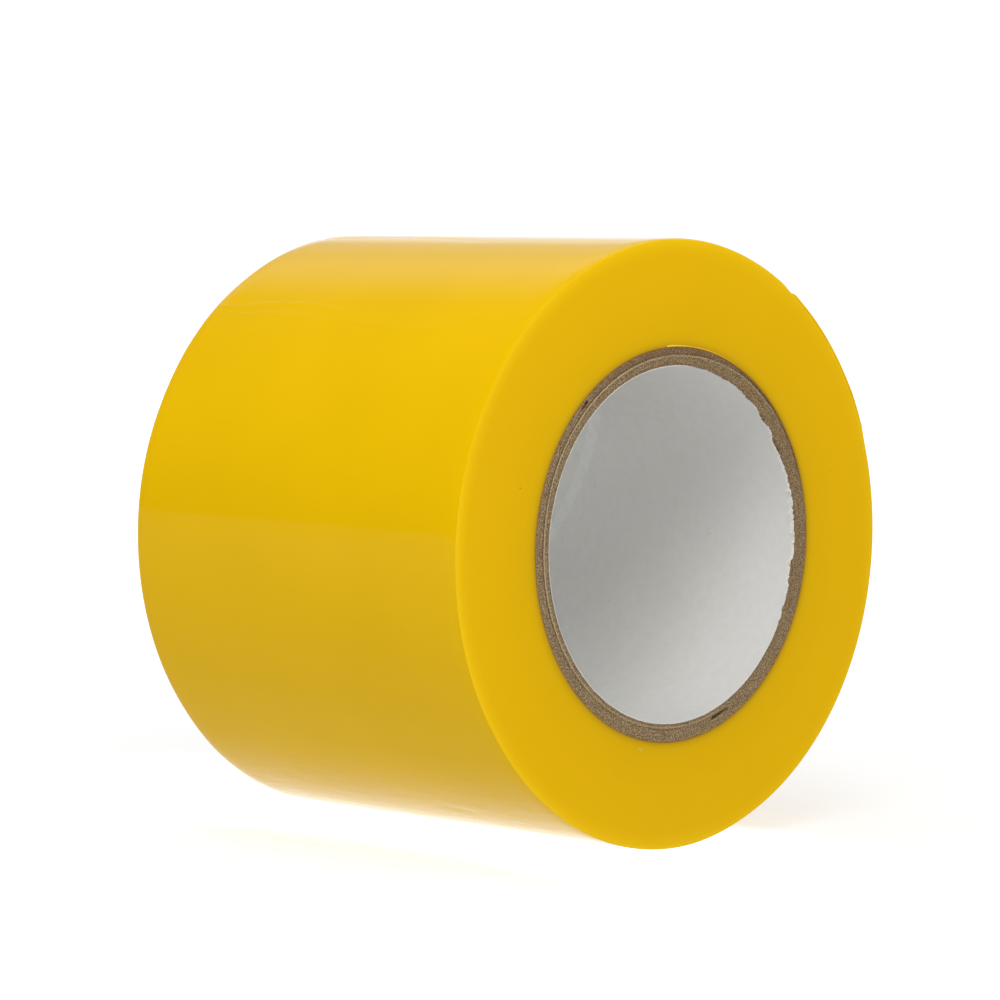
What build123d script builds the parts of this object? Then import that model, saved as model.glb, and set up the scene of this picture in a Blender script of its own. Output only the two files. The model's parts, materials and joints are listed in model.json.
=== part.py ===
from build123d import *

import math
import os

# A wide roll of glossy plastic film tape on a spiral-wound paper core, in millimetres.
# The roll's axis lies along Y and the middle of its bore is the origin. The front end is at
# -Y. Angles are clockwise from the top as the front end is looked at, so 90 points to +X.

# Driving dimensions
TAPE_WIDTH = 100.0
BORE_R = 38.1
CORE_R = 42.2
ROLL_R = 65.1
LINER_THICKNESS = 0.15
PLY_COUNT = 6
TURNS = 148

# The strips of the core are wound along one helix, which takes this length for one turn.
SEAM_PITCH = 180.0
LINER_SEAM_ANGLE = -54.0
LINER_SEAM_GAP = 0.3
# For each ply, from the inside: where its seam meets the front end, and how far it is open.
PLY_SEAMS = [(20.0, 0.5), (95.0, 0.5), (158.8, 5.8), (-110.0, 0.5), (-43.2, 4.0), (65.0, 0.5)]

# The film is wound counter-clockwise on its way out.
FILM_START_ANGLE = -3.5
FILM_START_RAMP = 4.0

# Its end is folded under, sticky side to sticky side, which makes a pull tab of two layers
# that lies loose on the coil. The tab is divided into lengths so that it can bend.
TAB_ROOT_ANGLE = 68.5
TAB_FOLD_ANGLE = 35.2
TAB_LENGTHS = 4
TAB_LAYERS = 2
TAB_LIFT = 0.03
TAB_SPLIT = 0.04

# Worked out from those
PLY_THICKNESS = (CORE_R - BORE_R - LINER_THICKNESS) / PLY_COUNT
FILM_THICKNESS = (ROLL_R - CORE_R) / TURNS
TAB_THICKNESS = TAB_LAYERS * FILM_THICKNESS
TAB_STEP = (TAB_ROOT_ANGLE - TAB_FOLD_ANGLE) / TAB_LENGTHS
SEAM_TWIST = 360.0 * TAPE_WIDTH / SEAM_PITCH
CUTTER_MARGIN = 0.05

# The front end's plane: its first axis points up and its normal runs into the roll, so a
# polar angle on it is an angle of the kind above.
FRONT = Plane(origin=(0, -TAPE_WIDTH / 2, 0), x_dir=(0, 0, 1), z_dir=(0, 1, 0))


def polar(radius, angle):
    turn = math.radians(angle)
    return Vector(radius * math.cos(turn), radius * math.sin(turn))


def sector(inner, outer, start, end, centre=Vector(0, 0)):
    """The face between two arcs about centre, from one angle to another."""
    middle = (start + end) / 2
    inner_arc = ThreePointArc(*[centre + polar(inner, a) for a in (start, middle, end)])
    outer_arc = ThreePointArc(*[centre + polar(outer, a) for a in (end, middle, start)])
    sides = [Line(inner_arc @ 1, outer_arc @ 0), Line(outer_arc @ 1, inner_arc @ 0)]
    return make_face([inner_arc, sides[0], outer_arc, sides[1]])


def full_width(sketch):
    return extrude(FRONT * sketch, amount=TAPE_WIDTH)


def seam_slot(inner, outer, angle, gap):
    """The open helical seam of one strip, as a solid to cut away."""
    half = math.degrees(gap / 2 / ((inner + outer) / 2))
    low, high = inner - CUTTER_MARGIN, outer + CUTTER_MARGIN
    section = FRONT * sector(low, high, angle - half, angle + half)
    return Solid.extrude_linear_with_rotation(
        section.faces()[0], FRONT.origin, FRONT.z_dir * TAPE_WIDTH, SEAM_TWIST
    )


def wound_strip(inner, thickness, seam_angle, gap):
    """One strip of the core: a thin tube that its own helical seam divides."""
    outer = inner + thickness
    tube = full_width(Circle(outer) - Circle(inner))
    return tube - seam_slot(inner, outer, seam_angle, gap)


def core_liner():
    return wound_strip(BORE_R, LINER_THICKNESS, LINER_SEAM_ANGLE, LINER_SEAM_GAP)


def core_ply(number):
    inner = BORE_R + LINER_THICKNESS + number * PLY_THICKNESS
    return wound_strip(inner, PLY_THICKNESS, *PLY_SEAMS[number])


def under_tab():
    """Centre and radius of the coil's surface below the tab."""
    centre = polar(-FILM_THICKNESS / 4, TAB_ROOT_ANGLE)
    return centre, ROLL_R - FILM_THICKNESS * 3 / 4


def coil_outline():
    """One turn of the film's spiral as two half circles, with its step at the tab's root."""
    first_centre = polar(FILM_THICKNESS / 4, TAB_ROOT_ANGLE)
    first_r = ROLL_R - FILM_THICKNESS / 4
    second_centre, second_r = under_tab()
    angles = [TAB_ROOT_ANGLE + quarter * 90 for quarter in range(5)]
    first = ThreePointArc(*[first_centre + polar(first_r, a) for a in angles[:3]])
    second = ThreePointArc(first @ 1, *[second_centre + polar(second_r, a) for a in angles[3:]])
    return make_face([first, second, Line(second @ 1, first @ 0)])


def start_void():
    """The narrow wedge beside the film's first edge, where the next turn climbs over it."""
    foot = polar(CORE_R - CUTTER_MARGIN, FILM_START_ANGLE)
    top = polar(CORE_R + FILM_THICKNESS, FILM_START_ANGLE)
    tip = polar(CORE_R - CUTTER_MARGIN, FILM_START_ANGLE + FILM_START_RAMP)
    return make_face(Polyline(foot, top, tip, close=True))


def tape_coil():
    return full_width(coil_outline() - Circle(CORE_R) - start_void())


def tape_tab(number):
    """One length of the pull tab, counted from the root, lying just clear of the coil."""
    centre, coil_r = under_tab()
    inner = coil_r + TAB_LIFT
    outer = inner + TAB_THICKNESS
    start = TAB_ROOT_ANGLE - number * TAB_STEP - math.degrees(TAB_SPLIT / outer)
    end = TAB_ROOT_ANGLE - (number + 1) * TAB_STEP
    return full_width(sector(inner, outer, start, end, centre))


def hinge_lines():
    """Where each length of the tab turns: the middle of its split, on the outer surface."""
    centre, coil_r = under_tab()
    outer = coil_r + TAB_LIFT + TAB_THICKNESS
    half_split = math.degrees(TAB_SPLIT / outer) / 2
    angles = [TAB_ROOT_ANGLE - number * TAB_STEP - half_split for number in range(TAB_LENGTHS)]
    return [FRONT.from_local_coords(centre + polar(outer, angle)) for angle in angles]


def sub_parts():
    parts = {"core_liner": core_liner(), "tape_coil": tape_coil()}
    for number in range(PLY_COUNT):
        parts[f"core_ply_{number + 1}"] = core_ply(number)
    for number in range(TAB_LENGTHS):
        parts[f"tape_tab_{number + 1}"] = tape_tab(number)
    return parts


os.makedirs("parts", exist_ok=True)
for name, solid in sub_parts().items():
    export_step(solid, f"parts/{name}.step")
for number, point in enumerate(hinge_lines()):
    print(f"tab hinge {number + 1}: x {point.X:.4f}, z {point.Z:.4f}")
length = math.pi * (ROLL_R**2 - CORE_R**2) / FILM_THICKNESS / 1000
print(f"film {FILM_THICKNESS:.4f} thick and {length:.1f} m long, ply {PLY_THICKNESS:.4f} thick")
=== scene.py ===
import json
import random
from math import atan2, cos, degrees, exp, hypot, radians, sin

import bmesh
import bpy
from bpy.props import FloatProperty, FloatVectorProperty, PointerProperty
from mathutils import Matrix, Vector, noise


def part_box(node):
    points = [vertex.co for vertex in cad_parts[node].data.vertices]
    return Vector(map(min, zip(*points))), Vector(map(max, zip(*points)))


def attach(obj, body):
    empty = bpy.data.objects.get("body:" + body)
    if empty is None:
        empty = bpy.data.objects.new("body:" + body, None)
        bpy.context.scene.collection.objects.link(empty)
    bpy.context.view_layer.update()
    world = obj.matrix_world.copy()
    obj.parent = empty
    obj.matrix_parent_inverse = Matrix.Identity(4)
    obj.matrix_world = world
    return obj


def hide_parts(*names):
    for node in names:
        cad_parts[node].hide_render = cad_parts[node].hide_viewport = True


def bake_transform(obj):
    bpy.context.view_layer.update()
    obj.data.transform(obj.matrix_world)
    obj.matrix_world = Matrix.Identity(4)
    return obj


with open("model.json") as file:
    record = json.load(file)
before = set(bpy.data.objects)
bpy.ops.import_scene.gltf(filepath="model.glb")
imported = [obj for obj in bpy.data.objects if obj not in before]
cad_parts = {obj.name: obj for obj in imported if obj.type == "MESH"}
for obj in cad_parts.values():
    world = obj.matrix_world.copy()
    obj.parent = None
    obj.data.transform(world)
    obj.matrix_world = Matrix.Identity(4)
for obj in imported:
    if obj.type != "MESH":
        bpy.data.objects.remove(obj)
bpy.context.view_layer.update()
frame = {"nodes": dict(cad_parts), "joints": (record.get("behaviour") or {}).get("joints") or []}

bl_info = {
    "name": "Film Tape Roll",
    "version": (1, 0, 0),
    "blender": (4, 5, 0),
    "location": "View3D > Sidebar > Tape Roll",
    "description": "Builds a wide roll of glossy film tape on its spiral paper core",
    "category": "Add Mesh",
}

# Lengths are in metres. Angles round the roll are in degrees, clockwise from the top as its
# front end is looked at. The front end is at -Y, and a depth is a place along Y.
MM = 0.001
PLIES = [f"core_ply_{number}" for number in range(1, 7)]
TABS = [f"tape_tab_{number}" for number in range(1, 5)]
TURNS = 148
# Where the film's end is folded back on itself, and where its first turn starts on the core
FOLD = 35.2
FILM_START = -3.5
# The strips of the core are wound along one spiral, which takes this length for a turn
SEAM_PITCH = 0.18
LINER_SEAM = -54
# Where each ply's seam comes out at the front end, and how wide it gapes in millimetres
SEAMS = [(20, 0.1), (95, 0.15), (158.8, 5.8), (-110, 0.15), (-42.4, 2.9), (65, 0.15)]
# Where a ply sinks into the open seam under it: the middle and reach in degrees, and how deep
SAGS = {3: (154.6, 2.0, 0.25), 5: (-44.6, 1.1, 0.42)}
CAMERA = Vector((-0.6789, -0.6842, 0.0732))
CAMERA_AIM = Vector((-0.0009, 0.0021, 0.0071))


def radii(node):
    """The least and the greatest distance of a CAD node's points from the roll's axis."""
    reach = [hypot(v.co.x, v.co.z) for v in frame["nodes"][node].data.vertices]
    return min(reach), max(reach)


HALF_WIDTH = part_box("tape_coil")[1].y
CORE_R, ROLL_R = radii("tape_coil")
BORE_R, LINER_R = radii("core_liner")
FLOOR_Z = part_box("tape_coil")[0].z
FILM = (ROLL_R - CORE_R) / TURNS
HINGES = [Vector(joint["pos_m"]) for joint in frame["joints"]]
ROOT = degrees(atan2(HINGES[0].x, HINGES[0].z))
# Degrees that a strip of the core advances round the roll for each metre along it
SEAM_TWIST = 360 / SEAM_PITCH


def polar(angle, radius, depth):
    turn = radians(angle)
    return Vector((radius * sin(turn), depth, radius * cos(turn)))


def angle_of(point):
    return degrees(atan2(point.x, point.z))


def ease(value, start, end):
    """0 before start, 1 after end and smooth between; start may be the larger."""
    share = min(max((value - start) / (end - start), 0), 1)
    return share * share * (3 - 2 * share)


def hump(value, middle, reach):
    """1 at the middle, falling away to nothing some reaches off."""
    return exp(-(((value - middle) / reach) ** 2))


def surface_radius(angle):
    """How far the outermost turn of film lies from the axis: it is wound a little out of round."""
    lap = (angle - ROOT) % 360
    turn = (angle + 180) % 360 - 180
    loose = 0.45 * ease(turn, 66, 74) * ease(turn, 178, 156) - 0.2 * hump(turn, -3, 16)
    dent = 0.3 * hump(turn, FOLD - 0.8, 1.5) + 0.28 * ease(turn, FOLD - 1, FOLD + 4) * (turn < ROOT)
    flat = 0.1 * hump(turn, -127, 7) + 0.12 * hump(turn, -62, 9) + 0.1 * hump(turn, -31, 6)
    return ROLL_R - FILM * lap / 360 - (loose + dent + flat) * MM


def tab_lift(angle):
    """How far the folded tab stands off the roll in its shallow waves."""
    return (0.005 + 0.03 * hump(angle, 46.5, 3) + 0.07 * hump(angle, 62, 2.2)) * MM


def torn_back(angle):
    """How far the liner's front edge is torn back from the end of the core."""
    turn = (angle + 180) % 360 - 180
    rough = 0.01 + 0.14 * abs(noise.noise(Vector((turn * 0.9, 2.1, 0)))) * ease(turn, -90, -125)
    ragged = ease(turn, 4, 10) * ease(turn, 124, 114)
    rough += ragged * (0.22 + 0.4 * noise.noise(Vector((turn * 0.3, 0.4, 0))))
    rough += ragged * 0.3 * noise.noise(Vector((turn * 0.9, 7.7, 0)))
    rough += (0.06 + 0.22 * ragged) * noise.noise(Vector((turn * 2.6, 1.7, 0)))
    dips = 0.75 * hump(turn, 59, 4) + 0.6 * hump(turn, 102.5, 4) + 0.5 * hump(turn, 12, 2.5)
    dips += 0.35 * hump(turn, 47, 2) - 0.3 * hump(turn, 42, 2) - 0.25 * hump(turn, 78, 3)
    return max(rough + dips, -0.03) * MM


class Shade:
    """A shader socket to write sums with: an operator adds the Math node that it stands for."""

    def __init__(self, tree, socket=None):
        self.tree = tree
        self.socket = socket

    def node(self, kind, settings, sockets, output=0):
        """Add any node: its settings are set first, then its sockets are set or linked."""
        made = self.tree.nodes.new(kind)
        for name, value in settings.items():
            if name == "stops":
                while len(made.color_ramp.elements) < len(value):
                    made.color_ramp.elements.new(0.5)
                for element, (place, colour) in zip(made.color_ramp.elements, value):
                    element.position = place
                    element.color = (*colour, 1)
            else:
                setattr(made, name, value)
        for name, value in sockets.items():
            if isinstance(value, Shade):
                self.tree.links.new(value.socket, made.inputs[name])
            else:
                made.inputs[name].default_value = value
        return Shade(self.tree, made.outputs[output] if made.outputs else None)

    def math(self, operation, *values):
        return self.node("ShaderNodeMath", {"operation": operation}, dict(enumerate(values)))

    def __add__(self, other):
        return self.math("ADD", self, other)

    __radd__ = __add__

    def __sub__(self, other):
        return self.math("SUBTRACT", self, other)

    def __rsub__(self, other):
        return self.math("SUBTRACT", other, self)

    def __mul__(self, other):
        return self.math("MULTIPLY", self, other)

    __rmul__ = __mul__

    def __truediv__(self, other):
        return self.math("DIVIDE", self, other)

    def __pow__(self, other):
        return self.math("POWER", self, other)

    def __abs__(self):
        return self.math("ABSOLUTE", self)

    def ramp(self, start, end, low=0.0, high=1.0, kind="SMOOTHSTEP"):
        """Goes from low to high as this value goes from start to end, and no further."""
        limits = {"From Min": start, "From Max": end, "To Min": low, "To Max": high}
        return self.node(
            "ShaderNodeMapRange", {"interpolation_type": kind}, {"Value": self, **limits}
        )

    def line(self, middle, width):
        """1 where this value is the middle, falling to 0 half a width to either side."""
        return abs(self - middle).ramp(width / 2, 0)

    def noise(self, scale, detail=2.0, roughness=0.5, stretch=(1, 1, 1)):
        """A grain about 1 / scale long, from this vector, finer along an axis stretched more."""
        point = self.node("ShaderNodeVectorMath", {"operation": "MULTIPLY"}, {0: self, 1: stretch})
        grain = {"Vector": point, "Scale": scale, "Detail": detail, "Roughness": roughness}
        return self.node("ShaderNodeTexNoise", {}, grain)

    def blend(self, first, second):
        """The first colour where this value is 0, and the second where it is 1."""
        colours = {0: self, 6: opaque(first), 7: opaque(second)}
        return self.node("ShaderNodeMix", {"data_type": "RGBA"}, colours, 2)


def opaque(colour):
    return colour if isinstance(colour, Shade) else (*colour[:3], 1)


def finish_surface(name, build):
    """The material of that name, whose principled shader gets the sockets that build works out."""
    if name in bpy.data.materials:
        return bpy.data.materials[name]
    material = bpy.data.materials.new(name)
    material.use_nodes = True
    tree = material.node_tree
    tree.nodes.clear()
    start = Shade(tree)
    point = start.node("ShaderNodeTexCoord", {}, {}, "Object")
    sockets = build(point)
    surface = start.node("ShaderNodeBsdfPrincipled", {}, sockets)
    start.node("ShaderNodeOutputMaterial", {}, {"Surface": surface})
    return material


def split(point):
    """The three parts of a vector."""
    return [point.node("ShaderNodeSeparateXYZ", {}, {0: point}, axis) for axis in range(3)]


def round_the_axis(point):
    """A point's distance from the roll's axis in millimetres, and its angle in degrees."""
    x, _, z = split(point)
    return (x * x + z * z) ** 0.5 * 1000, x.math("ARCTAN2", x, z) * degrees(1)


def bump(height, depth):
    return height.node("ShaderNodeBump", {}, {"Height": height, "Distance": depth, "Strength": 1.0})


def film_skin(settings):
    """The film's glossy outside: slow waves, soft ripples, a crumpled stretch and drag lines."""

    def build(point):
        _, angle = round_the_axis(point)
        depth = split(point)[1] * 1000
        waves = point.noise(48, 1.5, 0.4, (1, 0.45, 1))
        drag = point.noise(1500, 2.0, 0.6, (0.06, 1, 0.06))
        cloud = point.noise(28, 2.0)
        low = angle.ramp(-172, -158) * angle.ramp(-128, -142)
        crumple = point.noise(330, 3.0, 0.6, (1, 0.4, 1)) * low
        sway = angle + (point.noise(40, 1.0) - 0.5) * 5 - depth * 0.03
        ripples = sway.line(-43.5, 2.0) * depth.ramp(55, 40)
        ripples += sway.line(-40.4, 1.8) * depth.ramp(-10, 10) * 0.7
        ripples = ripples * depth.ramp(-38, -20)
        deep = [channel * 0.965 for channel in settings.colour]
        return {
            "Base Color": cloud.ramp(0.3, 0.7).blend(settings.colour, deep),
            "Roughness": 0.045 + settings.gloss_wear * drag.ramp(0.35, 0.8),
            "IOR": 1.3,
            "Specular IOR Level": 0.14,
            "Normal": bump(
                waves + 0.012 * drag + 1.2 * crumple + 0.8 * ripples, settings.waviness
            ),
        }

    return finish_surface("wound_film_skin", build)


def film_edges():
    """The cut ends of the windings, with a painted glow and edge highlight near the rim and painted
    shade against the core.
    """

    def build(point):
        radius, _ = round_the_axis(point)
        along = point.node("ShaderNodeCombineXYZ", {}, {0: radius})
        rings = along.noise(1.4, 3.0, 0.7)
        windings = along.noise(6.2, 1.0, 0.5)
        cloud = point.noise(60, 3.0)
        # By radius: painted shade darkens the ends next to the core, and a painted glow and edge
        # highlight lighten them at the rim
        stops = [
            (0.0, (0.36, 0.18, 0.008)),
            (0.012, (0.47, 0.28, 0.008)),
            (0.032, (0.58, 0.345, 0.005)),
            (0.07, (0.665, 0.392, 0.0028)),
            (0.15, (0.705, 0.41, 0.0018)),
            (0.42, (0.745, 0.425, 0.0018)),
            (0.84, (0.76, 0.437, 0.0018)),
            (0.93, (0.79, 0.47, 0.003)),
            (0.985, (0.84, 0.52, 0.006)),
            (1.0, (0.93, 0.64, 0.05)),
        ]
        place = (radius - CORE_R / MM) / ((ROLL_R - CORE_R) / MM)
        body = place.node("ShaderNodeValToRGB", {"stops": stops}, {"Fac": place})
        shade = rings.ramp(0.35, 0.7) * 0.05 + cloud.ramp(0.35, 0.7) * 0.03
        return {
            "Base Color": shade.blend(body, (0.5, 0.27, 0.001)),
            "Roughness": 0.36 + 0.1 * rings,
            "IOR": 1.3,
            "Specular IOR Level": 0.04,
            "Normal": bump(windings + 0.5 * cloud, 0.000012),
        }

    return finish_surface("wound_film_edges", build)


def raised_edge():
    """The edge of the film's first turn, which stands up; its colour is lighter than the film's, a
    painted glow of the light let through it.
    """

    def build(point):
        cloud = point.noise(900, 2.0)
        return {
            # Painted glow: lighter than the film's own colour
            "Base Color": cloud.ramp(0.35, 0.7).blend((0.9, 0.56, 0.03), (0.82, 0.48, 0.02)),
            "Roughness": 0.3 + 0.1 * cloud,
            "IOR": 1.3,
            "Normal": bump(cloud, 0.000006),
        }

    return finish_surface("raised_film_edge", build)


def core_board(settings):
    """Grey chipboard: pressed fibres and flecks, dark lines between plies, a ridge drawn as painted
    shade and painted highlight lines, and painted shade over the top and right of the end.
    """

    def build(point):
        radius, angle = round_the_axis(point)
        along, depth = angle * 0.7, split(point)[1] * 1000
        round_it = point.node("ShaderNodeCombineXYZ", {}, {0: along, 1: radius, 2: depth})
        flecks = point.noise(2700, 3.0, 0.75)
        fibres = round_it.noise(2.6, 3.0, 0.7, (0.5, 1.6, 1.6))
        patches = round_it.noise(0.5, 3.0, 0.65, (0.5, 1.6, 1))
        # The open edge of one ply climbs from the bore to the film as it goes round
        climb = angle.ramp(-180, -90, 39.15, 39.7) + angle.ramp(-90, -60, 0, 0.4)
        climb = climb + angle.ramp(-60, 0, 0, 0.3) + angle.ramp(0, 40, 0, 0.9)
        climb = climb + angle.ramp(40, 58, 0, 0.95) - angle.ramp(148, 156, 0, 3.1)
        open_edge = 1 - angle.ramp(58, 61) * angle.ramp(160, 157)
        wander = radius + (point.noise(900, 1.0) - 0.5) * 0.2
        beyond = wander - climb
        strong = angle.ramp(-150, -110, 0.5, 1) * angle.ramp(10, -40, 0.5, 1)
        frayed = fibres.ramp(0.3, 0.5, 0.5, 1) * strong
        # Painted shade on the outer side and painted highlight on the inner side of the ridge along
        # that open edge
        ridge_shade = beyond.line(0.2, 0.7) * open_edge * strong
        pale = beyond.line(-0.13, 0.7) * open_edge * frayed
        plies = wander.line(38.62, 0.4) * 0.45 + wander.line(40.9, 0.4) * 0.3
        right = angle.ramp(0, 40) * angle.ramp(130, 105)
        strip = wander.ramp(41.35, 41.75) * angle.ramp(15, 35) * angle.ramp(84, 66)
        dark_lines_and_shade = ridge_shade * 0.85 + plies + strip * 0.7 + wander.line(40.0, 0.6) * right * 0.35
        # The outer zone at the top is blended redder and darker, and painted shade darkens the top
        # and right of the end
        red = beyond.ramp(-0.1, 0.2) * angle.ramp(-50, -12) * angle.ramp(45, 20)
        shady = angle.ramp(-50, -5) * angle.ramp(140, 90)
        colour = flecks.ramp(0.4, 0.58).blend(settings.board_dark, settings.board)
        colour = (fibres.ramp(0.52, 0.66) * 0.7).blend(colour, settings.board_fibre)
        colour = (patches.ramp(0.45, 0.68) * 0.4).blend(colour, settings.board_dark)
        colour = (red * 0.4 + shady * 0.2).blend(colour, (0.15, 0.078, 0.033))
        # Painted highlight of the ridge, in the pale fibre colour
        colour = (pale * 0.85).blend(colour, settings.board_fibre)
        # Dark lines between plies, together with the painted shade of the ridge
        colour = dark_lines_and_shade.ramp(0, 1, 0, 0.85).blend(colour, (0.085, 0.04, 0.013))
        colour = (flecks.ramp(0.5, 0.38) * 0.5).blend(colour, (0.06, 0.035, 0.015))
        colour = (flecks.ramp(0.56, 0.66) * 0.5).blend(colour, settings.board_fibre)
        colour = (wander.ramp(41.85, 42.1) * 0.7).blend(colour, (0.24, 0.115, 0.014))
        height = flecks * 0.7 + fibres + pale * 0.6 - ridge_shade * 1.5
        return {
            "Base Color": colour,
            "Roughness": 0.82 + 0.14 * flecks,
            "IOR": 1.4,
            "Specular IOR Level": 0.2,
            "Normal": bump(height, 0.00005),
        }

    return finish_surface("pressed_core_board", build)


def liner_paper(name, shade, settings):
    """Smooth white paper, calendered on its face, with faint mottling and a few grey flecks."""

    def build(point):
        mottle = point.noise(420, 3.0, 0.6)
        pulp = point.noise(3800, 2.0, 0.6)
        cloud = point.noise(38, 2.0)
        flecks = point.noise(560, 1.0, 0.4, (1, 0.5, 1)).ramp(0.74, 0.8)
        colour = (mottle.ramp(0.3, 0.7) * 0.5).blend(shade, settings.liner_grey)
        colour = (cloud.ramp(0.4, 0.7) * 0.3).blend(colour, settings.liner_grey)
        colour = (flecks * 0.14).blend(colour, (0.28, 0.26, 0.25))
        return {
            "Base Color": colour,
            "Roughness": 0.4 + 0.14 * mottle,
            "IOR": 1.4,
            "Normal": bump(mottle + 0.4 * pulp, 0.000006),
        }

    return finish_surface(name, build)


def torn_paper():
    """Paper where it is torn: soft and white, with a little board left on it."""

    def build(point):
        pulp = point.noise(2600, 3.0, 0.7)
        return {
            "Base Color": pulp.ramp(0.35, 0.75).blend((0.86, 0.85, 0.82), (0.6, 0.54, 0.46)),
            "Roughness": 0.9,
            "Normal": bump(pulp, 0.00004),
        }

    return finish_surface("torn_paper_fibre", build)


def grime():
    """Dust and grit that has stuck to the cut ends."""

    def build(point):
        grain = point.noise(7000, 2.0)
        return {
            "Base Color": grain.ramp(0.35, 0.7).blend((0.07, 0.045, 0.012), (0.19, 0.11, 0.02)),
            "Roughness": 0.7 + 0.2 * grain,
            "Normal": bump(grain, 0.00002),
        }

    return finish_surface("stuck_grit", build)


def make_piece(name, shape, finishes, body="roll", sharp=35):
    """Turn a finished bmesh into a piece that rides on a body of the roll."""
    bmesh.ops.recalc_face_normals(shape, faces=shape.faces)
    mesh = bpy.data.meshes.new(name)
    shape.to_mesh(mesh)
    shape.free()
    for finish in finishes:
        mesh.materials.append(finish)
    mesh.shade_smooth()
    mesh.set_sharp_from_angle(angle=radians(sharp))
    piece = bpy.data.objects.new(name, mesh)
    bpy.context.scene.collection.objects.link(piece)
    if body:
        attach(piece, body)
    return piece


def section(shape, angle, corners):
    """A face across the roll at an angle, from its corners as (radius, depth)."""
    return shape.faces.new([shape.verts.new(polar(angle, *corner)) for corner in corners])


def swing(shape, degrees_on, steps, closed=False):
    """Sweep a section, or its outline, round the roll's axis, clockwise from the front."""
    bmesh.ops.spin(
        shape,
        geom=[*shape.faces, *shape.edges, *shape.verts],
        cent=(0, 0, 0),
        axis=(0, 1, 0),
        angle=radians(degrees_on),
        steps=steps,
        use_merge=closed,
    )


def wound_film():
    """All the windings as one body, with the step where the last turn runs under the tab."""
    shape = bmesh.new()
    half = HALF_WIDTH
    inner, outer = CORE_R, ROLL_R
    section(shape, ROOT, [(inner, -half), (outer, -half), (outer, half), (inner, half)])
    rim = [v for v in shape.verts if v.co.xz.length > (inner + outer) / 2]
    bmesh.ops.bevel(
        shape, geom=rim, offset=0.14 * MM, affect="VERTICES", segments=4, profile=0.5, material=-1
    )
    bmesh.ops.delete(shape, geom=shape.faces[:], context="FACES_ONLY")
    long_edges = [e for e in shape.edges if e.calc_length() > 0.015]
    skin = [e for e in long_edges if all(v.co.xz.length > outer - 0.1 * MM for v in e.verts)]
    ends = [e for e in long_edges if abs(e.verts[0].co.y - e.verts[1].co.y) < 1 * MM]
    bmesh.ops.subdivide_edges(shape, edges=skin, cuts=28)
    bmesh.ops.subdivide_edges(shape, edges=ends, cuts=6)
    swing(shape, 360, 720, closed=True)
    for v in shape.verts:
        angle, radius, depth = angle_of(v.co), v.co.xz.length, v.co.y
        lap = (angle - ROOT) % 360
        # The last points before the root close up on it, which makes the step steep
        if 359.2 < lap < 359.9:
            angle = ROOT - 0.06
        share = ease(radius, 55 * MM, 64 * MM)
        change = surface_radius(angle) - ROLL_R
        change += FILM * ease((angle - ROOT) % 360, 1.8, 0)
        wave = noise.noise(Vector((v.co.x * 42, depth * 30, v.co.z * 42)))
        crease = 0.1 * hump(angle, -9 + 3 * sin(depth * 60), 1.2) * ease(depth, -0.01, 0.012)
        crease += 0.07 * hump(angle, -151, 1.6) * hump(depth, -0.016, 0.006)
        crease += 0.03 * hump(angle, -42, 0.8) * sin(angle * 5)
        change += (0.035 * wave * ease(half - abs(depth), 0, 0.004) - crease) * MM
        start = (angle - FILM_START + 180) % 360 - 180
        if radius < inner + 0.02 * MM and start >= -0.3:
            change = FILM * ease(start, 6.2, 0) * 1.1
            share = 1
        v.co = polar(angle, radius + share * change, depth)
    return shape


def skin_or_edge(shape):
    """Give the faces at the two ends of the roll the second finish."""
    shape.normal_update()
    for face in shape.faces:
        face.smooth = True
        flat = abs(face.calc_center_median().y) > HALF_WIDTH - 0.02 * MM
        face.material_index = 1 if flat else 0


def tab_length(start, end, nose=False):
    """One length of the tab: two thicknesses of film, gummed face to face."""
    shape = bmesh.new()
    half, crack = HALF_WIDTH, 0.015 * MM
    corners = [(0, -half), (0.46, -half), (0.5, crack - half), (0.54, -half), (1, -half)]
    corners += [(1, half), (0.54, half), (0.5, half - crack), (0.46, half), (0, half)]
    thick = [(ROLL_R + share * MM, depth) for share, depth in corners]
    section(shape, start, thick)
    swing(shape, end - start, max(8, round(abs(end - start) / 0.4)))
    for v in shape.verts:
        angle, share = angle_of(v.co), (v.co.xz.length - ROLL_R) / MM
        under = surface_radius(min(angle, ROOT - 0.1)) + 0.004 * MM
        lift = tab_lift(angle) * ease(angle, ROOT, ROOT - 3)
        blunt = 1.0
        if nose:
            blunt -= 0.5 * ease(angle, FOLD + 1.6, FOLD) + 0.46 * ease(angle, FOLD + 0.3, FOLD)
        thickness = 2 * FILM * share * blunt
        v.co = polar(angle, under + lift + thickness, v.co.y)
    return shape


def core_ply(number, inner, outer, seam, gap, sag):
    """One ply: a strip of board wound on a slant, so that its two edges meet in a spiral seam."""
    shape = bmesh.new()
    half = HALF_WIDTH - 0.03 * MM
    clear = 0.004 * MM
    open_angle = degrees(gap * MM / outer)
    corners = [(inner + clear, -half), (outer, -half), (outer, half), (inner + clear, half)]
    section(shape, seam + open_angle / 2, corners)
    long_edges = [e for e in shape.edges if e.calc_length() > half]
    bmesh.ops.subdivide_edges(shape, edges=long_edges, cuts=49)
    swing(shape, 360 - open_angle, 180)
    for v in shape.verts:
        radius, angle, depth = v.co.xz.length, angle_of(v.co), v.co.y
        if abs(depth) > half - 0.5 * MM:
            rough = noise.noise(v.co * 900 + Vector((number * 7, 0, 0)))
            proud = (0.02 * rough + (0.05 if number < 2 else 0)) * MM
            depth += proud if depth > 0 else -proud
        if radius < (inner + outer) / 2 and sag:
            middle, reach, deep = sag
            radius -= deep * MM * hump((angle - middle + 180) % 360 - 180, 0, reach)
        v.co = polar(angle + (v.co.y + HALF_WIDTH) * SEAM_TWIST, radius, depth)
    return shape


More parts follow.
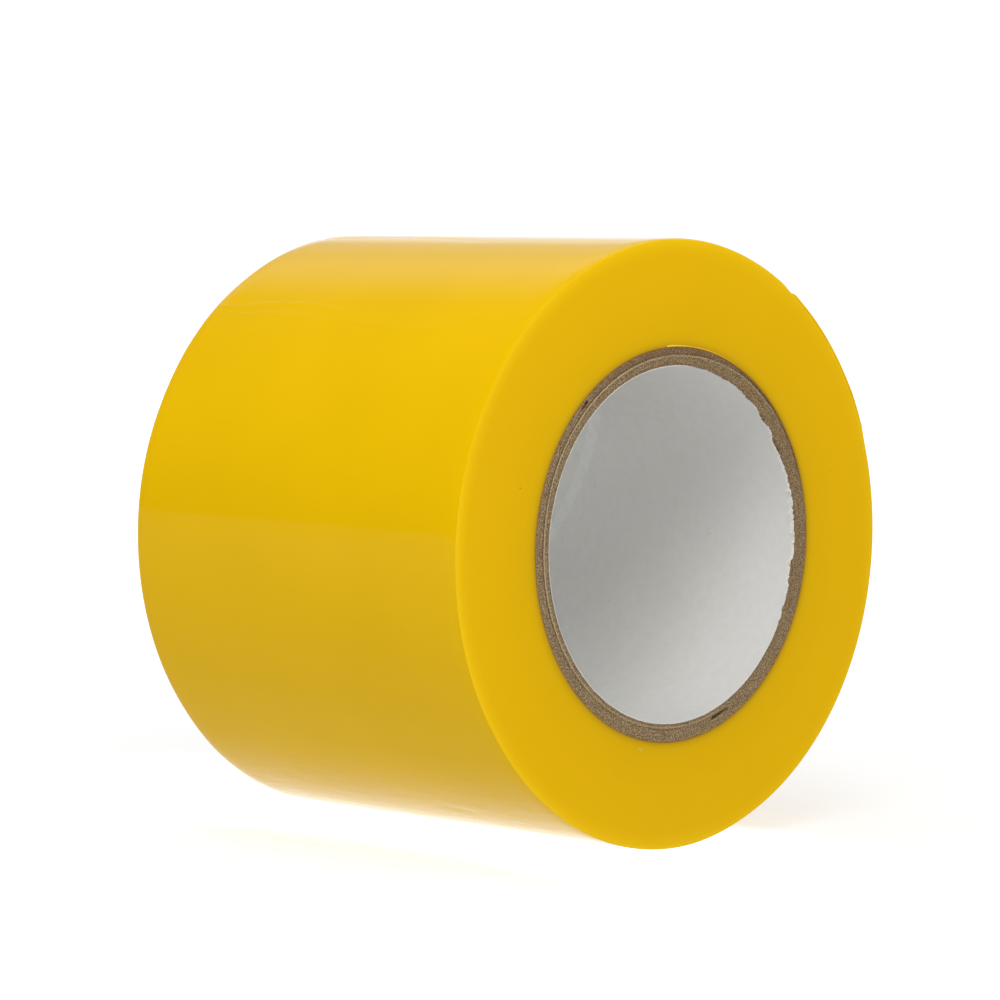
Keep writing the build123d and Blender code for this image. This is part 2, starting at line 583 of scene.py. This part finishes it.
def liner_sheet(inner, outer):
    """The liner, with its front edge torn back; its seam is under the lap."""
    shape = bmesh.new()
    half = HALF_WIDTH - 0.02 * MM
    section(shape, 0, [(inner, -half), (outer, -half), (outer, half), (inner, half)])
    long_edges = [e for e in shape.edges if e.calc_length() > half]
    bmesh.ops.delete(shape, geom=shape.faces[:], context="FACES_ONLY")
    bmesh.ops.subdivide_edges(shape, edges=long_edges, cuts=3)
    swing(shape, 360, 900, closed=True)
    for v in shape.verts:
        angle = angle_of(v.co)
        if v.co.y < 0.1 * MM - half:
            v.co.y = -HALF_WIDTH + torn_back(angle)
        elif v.co.y > half - 0.1 * MM:
            v.co.y = half - 0.08 * MM * (1 + noise.noise(Vector((angle * 0.8, 5, 0))))
    return shape


def liner_lap(inner):
    """The band where the liner's second edge is gummed down over its first."""
    shape = bmesh.new()
    bmesh.ops.create_grid(shape, x_segments=8, y_segments=120, size=0.5)
    half = HALF_WIDTH - 0.9 * MM
    for v in shape.verts:
        along, across = v.co.x * 2, v.co.y * 2
        depth = half * across
        angle = LINER_SEAM + along * degrees(2.3 * MM / inner) + (depth + HALF_WIDTH) * SEAM_TWIST
        v.co = polar(angle, inner - 0.02 * MM * ease(abs(along), 1.02, 0.7), depth)
    bmesh.ops.solidify(shape, geom=shape.faces[:], thickness=0.015 * MM)
    return shape


def strand(shape, root, heading, curl, length, thickness, steps=5):
    """Add one fine hair that starts at a point and bends about the curl axis as it goes."""
    heading, curl = heading.normalized(), curl.normalized()
    side = heading.cross(curl).normalized()
    bend = length / 1.4
    made = bmesh.ops.create_circle(shape, cap_ends=True, segments=4, radius=thickness / 2)
    turned = Vector((0, 0, 1)).rotation_difference(heading).to_matrix().to_4x4()
    bmesh.ops.transform(shape, matrix=Matrix.Translation(root) @ turned, verts=made["verts"])
    faces = list({f for v in made["verts"] for f in v.link_faces})
    edges = list({e for v in made["verts"] for e in v.link_edges})
    bmesh.ops.spin(
        shape,
        geom=[*faces, *edges, *made["verts"]],
        cent=root - side * bend,
        axis=curl,
        angle=-1.4,
        steps=steps,
        use_merge=False,
    )


def torn_fibres():
    """Loose fibres along the torn stretch of the liner's front edge."""
    shape = bmesh.new()
    chance = random.Random(12)
    tufts = [(42, 3, 26), (78, 4, 26), (93, 14, 22), (118, 8, 12), (20, 9, 14), (-150, 26, 12)]
    for middle, spread, count in tufts:
        for _ in range(count):
            angle = chance.gauss(middle, spread / 2)
            inner = BORE_R + chance.uniform(-0.05, 0.12) * MM
            root = polar(angle, inner, -HALF_WIDTH + torn_back(angle) + 0.05 * MM)
            inward = polar(angle + 180, 1, 0)
            heading = Vector((0, -1, 0)) + inward * chance.uniform(-0.2, 0.9)
            heading += polar(angle + 90, chance.uniform(-1.2, 1.2), 0)
            curl = Vector([chance.uniform(-1, 1) for _ in range(3)])
            curl -= heading.normalized() * curl.dot(heading.normalized())
            if curl.length < 0.05:
                continue
            length = chance.uniform(0.12, 0.5) * MM
            strand(shape, root, heading, curl, length, chance.uniform(0.012, 0.03) * MM, 4)
    return shape


def torn_lip():
    """The thick white edge that the liner's torn layers leave down one side of the bore."""
    shape = bmesh.new()
    first, stretch = 44, 74
    section(shape, first, [(0.9, 0), (1, 0), (1, 1), (0.9, 1)])
    swing(shape, stretch, stretch * 5)
    for v in shape.verts:
        angle, share, back = angle_of(v.co), (v.co.xz.length - 0.9) / 0.1, v.co.y
        swell = ease(angle, 46, 52) * ease(angle, 115, 104) * (0.8 + 0.3 * hump(angle, 84, 9))
        swell *= 0.85 + 0.8 * noise.noise(Vector((angle * 0.5, 3, 0)))
        swell = max(swell, 0.03)
        radius = BORE_R + (0.1 - 0.22 * swell * (1 - share)) * MM
        start = torn_back(angle) - 0.1 * MM * swell
        v.co = polar(angle, radius, -HALF_WIDTH + start + 1.1 * MM * swell * back)
    return shape


def film_start():
    """The very start of the film, whose cut edge stands a little proud of the end."""
    shape = bmesh.new()
    section(shape, -3.6, [(1, -1), (2, -1), (2, 0), (1, 0)])
    swing(shape, 37, 100)
    for v in shape.verts:
        angle, share, front = angle_of(v.co), v.co.xz.length - 1, v.co.y
        climb = 0.08 * ease(angle, -3.6, 9)
        thick = 0.4 - 0.24 * ease(angle, -3, 8) - 0.15 * ease(angle, 10, 33)
        radius = CORE_R + (0.04 + climb + share * thick) * MM
        proud = 0.07 * ease(angle, 33.4, 8)
        depth = -HALF_WIDTH - proud * MM if front < -0.5 else -HALF_WIDTH + 0.2 * MM
        v.co = polar(angle, radius, depth)
    return shape


def grit(angle, radius, size, squash=0.45):
    """One speck stuck to the front end."""
    shape = bmesh.new()
    bmesh.ops.create_icosphere(shape, subdivisions=2, radius=size / 2)
    for v in shape.verts:
        v.co *= 1 + 0.35 * noise.noise(v.co * (2 / size) + Vector((angle, 0, 0)))
        v.co.y *= squash
    bmesh.ops.translate(shape, verts=shape.verts, vec=polar(angle, radius, -HALF_WIDTH))
    return shape


class FilmSettings(bpy.types.PropertyGroup):
    colour: FloatVectorProperty(
        name="Film", description="Colour of the film", subtype="COLOR", default=(0.8, 0.48, 0.0)
    )
    waviness: FloatProperty(
        name="Waviness",
        description="How deep the slow waves in the film's skin are",
        default=0.0001,
        min=0,
        unit="LENGTH",
        precision=5,
    )
    gloss_wear: FloatProperty(
        name="Gloss wear",
        description="How much the calender's drag lines dull the gloss",
        default=0.03,
        min=0,
        max=1,
        subtype="FACTOR",
    )


class CoreSettings(bpy.types.PropertyGroup):
    board: FloatVectorProperty(
        name="Board",
        description="Colour of the board",
        subtype="COLOR",
        default=(0.315, 0.218, 0.116),
    )
    board_dark: FloatVectorProperty(
        name="Dark flecks",
        description="Colour of the dark flecks in the board",
        subtype="COLOR",
        default=(0.125, 0.078, 0.036),
    )
    board_fibre: FloatVectorProperty(
        name="Pale fibres",
        description="Colour of the pale fibres in the board",
        subtype="COLOR",
        default=(0.5, 0.4, 0.25),
    )
    liner: FloatVectorProperty(
        name="Liner",
        description="Colour of the liner",
        subtype="COLOR",
        default=(0.72, 0.715, 0.69),
    )
    liner_lap: FloatVectorProperty(
        name="Liner lap",
        description="Colour of the liner where it is double",
        subtype="COLOR",
        default=(0.765, 0.77, 0.755),
    )
    liner_grey: FloatVectorProperty(
        name="Liner mottle",
        description="Colour of the liner's faint mottling",
        subtype="COLOR",
        default=(0.66, 0.655, 0.63),
    )


class StudioSettings(bpy.types.PropertyGroup):
    backdrop: FloatProperty(
        name="Backdrop", description="Brightness of the white backdrop", default=1.05, min=0
    )
    room: FloatProperty(
        name="Room", description="Brightness of the rest of the studio", default=0.27, min=0
    )
    bounce: FloatProperty(
        name="Bounce", description="Light that the floor throws up at the roll", default=0.92, min=0
    )
    key: FloatProperty(
        name="Key light", description="Strength of the main lamp", default=5.6, min=0, unit="POWER"
    )
    top: FloatProperty(
        name="Top light", description="Strength of the lamp above", default=3.8, min=0, unit="POWER"
    )
    fill: FloatProperty(
        name="Fill light",
        description="Strength of the fill lamp",
        default=2.75,
        min=0,
        unit="POWER",
    )
    table: FloatProperty(
        name="Table light", description="Light that comes up through the floor", default=1.0, min=0
    )
    glow: FloatProperty(
        name="Table glow", description="Brightness of the table under the roll", default=0.9, min=0
    )
    floor: FloatVectorProperty(
        name="Floor", description="Colour of the floor", subtype="COLOR", default=(0.4, 0.4, 0.4)
    )


class TAPEROLL_OT_windings(bpy.types.Operator):
    """Wind the film onto the core, up to where its folded end begins"""

    bl_idname = "taperoll.windings"
    bl_label = "Windings"

    def execute(self, context):
        settings = context.scene.taperoll_film
        shape = wound_film()
        skin_or_edge(shape)
        finishes = [film_skin(settings), film_edges()]
        piece = make_piece("wound_film", shape, finishes, sharp=50)
        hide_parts("tape_coil")
        make_piece("film_start_edge", film_start(), [raised_edge()])
        return {"FINISHED"}


class TAPEROLL_OT_pull_tab(bpy.types.Operator):
    """Fold the end of the film back on itself as a tab to pull the next length off by"""

    bl_idname = "taperoll.pull_tab"
    bl_label = "Pull tab"

    def execute(self, context):
        settings = context.scene.taperoll_film
        finishes = [film_skin(settings), film_edges()]
        reach = (ROOT - FOLD) / len(TABS)
        middles = [ROOT - reach * (number + 0.5) for number in range(len(TABS))]
        stops = [ROOT, *middles, FOLD]
        bodies = ["roll", "tab_1", "tab_2", "tab_3", "tab_4"]
        for number, (start, end) in enumerate(zip(stops, stops[1:])):
            last = number == len(TABS)
            shape = tab_length(start, end, nose=last)
            skin_or_edge(shape)
            name = f"pull_tab_{number + 1}"
            piece = make_piece(name, shape, finishes, "tab_4" if last else None, 50)
            if not last:
                ends = [polar(angle, ROLL_R, 0) for angle in (start, end)]
                bodies[number + 1]
                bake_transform(piece)
            if number:
                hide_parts(TABS[number - 1])
        return {"FINISHED"}


class TAPEROLL_OT_core(bpy.types.Operator):
    """Wind the core's six plies of board"""

    bl_idname = "taperoll.core"
    bl_label = "Core"

    def execute(self, context):
        settings = context.scene.taperoll_core
        step = (CORE_R - LINER_R) / len(PLIES)
        for number, (node, (seam, gap)) in enumerate(zip(PLIES, SEAMS)):
            inner = LINER_R + step * number
            shape = core_ply(number, inner, inner + step, seam, gap, SAGS.get(number))
            name = f"board_ply_{number + 1}"
            piece = make_piece(name, shape, [core_board(settings)])
            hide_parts(node)
        return {"FINISHED"}


class TAPEROLL_OT_liner(bpy.types.Operator):
    """Line the core with white paper, lapped in a spiral and torn along part of its front"""

    bl_idname = "taperoll.liner"
    bl_label = "Liner"

    def execute(self, context):
        settings = context.scene.taperoll_core
        paper = liner_paper("white_liner_paper", settings.liner, settings)
        lapped = liner_paper("lapped_liner_paper", settings.liner_lap, settings)
        torn = torn_paper()
        piece = make_piece("liner_sheet", liner_sheet(BORE_R, LINER_R), [paper])
        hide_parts("core_liner")
        make_piece("liner_lap", liner_lap(BORE_R), [lapped])
        make_piece("torn_lip", torn_lip(), [torn], sharp=80)
        make_piece("torn_fibres", torn_fibres(), [torn], sharp=80)
        return {"FINISHED"}


class TAPEROLL_OT_specks(bpy.types.Operator):
    """Stick a few specks and a hair to the front end, as a used roll picks them up"""

    bl_idname = "taperoll.specks"
    bl_label = "Specks"

    def execute(self, context):
        specks = [(-73, 48.7, 0.3), (-72.4, 48.9, 0.16), (75, 52.4, 0.2), (56, 60.5, 0.17)]
        specks += [(133, 57.3, 0.13), (-20, 55.1, 0.12)]
        for number, (angle, radius, size) in enumerate(specks):
            shape = grit(angle, radius * MM, size * MM)
            make_piece(f"speck_{number + 1}", shape, [grime()], sharp=80)
        shape = bmesh.new()
        root = polar(-167, 44.6 * MM, -HALF_WIDTH - 0.02 * MM)
        strand(shape, root, Vector((0.3, 0, -1)), Vector((0, 1, 0)), 1.5 * MM, 0.07 * MM, 12)
        make_piece("white_hair", shape, [torn_paper()], sharp=80)
        flake = grit(124.6, 42.05 * MM, 0.45 * MM, squash=0.3)
        make_piece("film_flake", flake, [film_edges()], sharp=80)
        return {"FINISHED"}


class TAPEROLL_OT_stage(bpy.types.Operator):
    """Set the roll on a pale floor in soft studio light, with the camera before it"""

    bl_idname = "taperoll.stage"
    bl_label = "Stage"

    def execute(self, context):
        settings = context.scene.taperoll_studio
        scene = context.scene
        scene.view_settings.view_transform = "Standard"
        shape = bmesh.new()
        bmesh.ops.create_circle(shape, cap_ends=True, segments=96, radius=4)
        bmesh.ops.translate(shape, verts=shape.verts, vec=(0, 0, FLOOR_Z - 0.0001))
        mesh = bpy.data.meshes.new("pale_floor")
        shape.to_mesh(mesh)
        shape.free()

        def plain(point):
            tone = point.noise(3, 2.0)
            pale = [channel * 0.99 for channel in settings.floor]
            x, y, _ = split(point)
            away = (x * x + y * y) ** 0.5
            under = x.ramp(-0.052, -0.012) * x.ramp(0.04, 0.015)
            under = under * y.ramp(-0.09, -0.055) * y.ramp(0.16, 0.11)
            bright = away.ramp(0.1, 0.9, 0.66, 1.0) * settings.table + under * settings.glow
            return {
                "Base Color": tone.blend(settings.floor, pale),
                "Roughness": 0.95,
                "Emission Color": bright.node(
                    "ShaderNodeCombineColor", {}, {0: bright, 1: bright, 2: bright}
                ),
                "Emission Strength": 1.0,
            }

        mesh.materials.append(finish_surface("pale_floor", plain))
        floor = bpy.data.objects.new("pale_floor", mesh)
        scene.collection.objects.link(floor)
        floor.visible_diffuse = False
        light_sky(settings)
        lamp("key_light", (-0.62, -0.5, 0.85), 0.6, settings.key)
        lamp("top_light", (-0.25, 0.25, 1.1), 0.7, settings.top)
        lamp("fill_light", (-0.3, -0.75, 0.42), 0.6, settings.fill)
        view = bpy.data.cameras.new("camera")
        view.lens = 157.47
        view.sensor_width = 36
        view.clip_start = 0.01
        camera = bpy.data.objects.new("camera", view)
        camera.location = CAMERA
        aim = CAMERA_AIM - camera.location
        camera.rotation_euler = aim.to_track_quat("-Z", "Y").to_euler()
        scene.collection.objects.link(camera)
        scene.camera = camera
        return {"FINISHED"}


def light_sky(settings):
    """A white sweep behind the roll, low all round, in a dimmer room, and the floor's bounce."""
    world = bpy.data.worlds.new("studio")
    bpy.context.scene.world = world
    world.use_nodes = True
    tree = world.node_tree
    tree.nodes.clear()
    start = Shade(tree)
    point = start.node("ShaderNodeTexCoord", {}, {}, "Generated")
    x, y, z = split(point)
    behind = x * 0.695 + y * 0.716
    sweep = behind.ramp(0.62, 0.8) * (1 - z.ramp(0.24, 0.33) * z.ramp(0.57, 0.46) * 0.4)
    low = z.ramp(0.05, 0.036)
    white = sweep.math("MAXIMUM", sweep, low)
    above = white.ramp(0, 1, settings.room, settings.backdrop, "LINEAR")
    below = z.ramp(-0.01, -0.06)
    tone = above * (1 - below) + below * settings.bounce
    light = start.node("ShaderNodeBackground", {}, {"Color": (1, 1, 1, 1), "Strength": tone})
    start.node("ShaderNodeOutputWorld", {}, {"Surface": light})


def lamp(name, place, size, power):
    """A large square softbox that points at the roll and shows in no reflection."""
    light = bpy.data.lights.new(name, "AREA")
    light.size = size
    light.energy = power
    box = bpy.data.objects.new(name, light)
    box.location = place
    box.rotation_euler = (-Vector(place)).to_track_quat("-Z", "Y").to_euler()
    box.visible_glossy = False
    bpy.context.scene.collection.objects.link(box)


class TAPEROLL_PT_panel(bpy.types.Panel):
    """The pieces of the roll, and what they are made from"""

    bl_idname = "TAPEROLL_PT_panel"
    bl_label = "Tape Roll"
    bl_space_type = "VIEW_3D"
    bl_region_type = "UI"
    bl_category = "Tape Roll"

    def draw(self, context):
        for name, operators in GROUPS:
            box = self.layout.box()
            settings = getattr(context.scene, name)
            for key in settings.__annotations__:
                box.prop(settings, key)
            for operator in operators:
                box.operator(operator.bl_idname)


GROUPS = [
    ("taperoll_film", [TAPEROLL_OT_windings, TAPEROLL_OT_pull_tab, TAPEROLL_OT_specks]),
    ("taperoll_core", [TAPEROLL_OT_core, TAPEROLL_OT_liner]),
    ("taperoll_studio", [TAPEROLL_OT_stage]),
]
SETTINGS = {
    "taperoll_film": FilmSettings,
    "taperoll_core": CoreSettings,
    "taperoll_studio": StudioSettings,
}
CLASSES = [
    *SETTINGS.values(),
    *(operator for _, operators in GROUPS for operator in operators),
    TAPEROLL_PT_panel,
]


def register():
    for made in CLASSES:
        bpy.utils.register_class(made)
    for name, settings in SETTINGS.items():
        setattr(bpy.types.Scene, name, PointerProperty(type=settings))


def unregister():
    for name in SETTINGS:
        delattr(bpy.types.Scene, name)
    for made in reversed(CLASSES):
        bpy.utils.unregister_class(made)


def main():
    register()
    bpy.ops.taperoll.windings()
    bpy.ops.taperoll.pull_tab()
    bpy.ops.taperoll.core()
    bpy.ops.taperoll.liner()
    bpy.ops.taperoll.specks()
    bpy.ops.taperoll.stage()


if __name__ == "__main__":
    main()
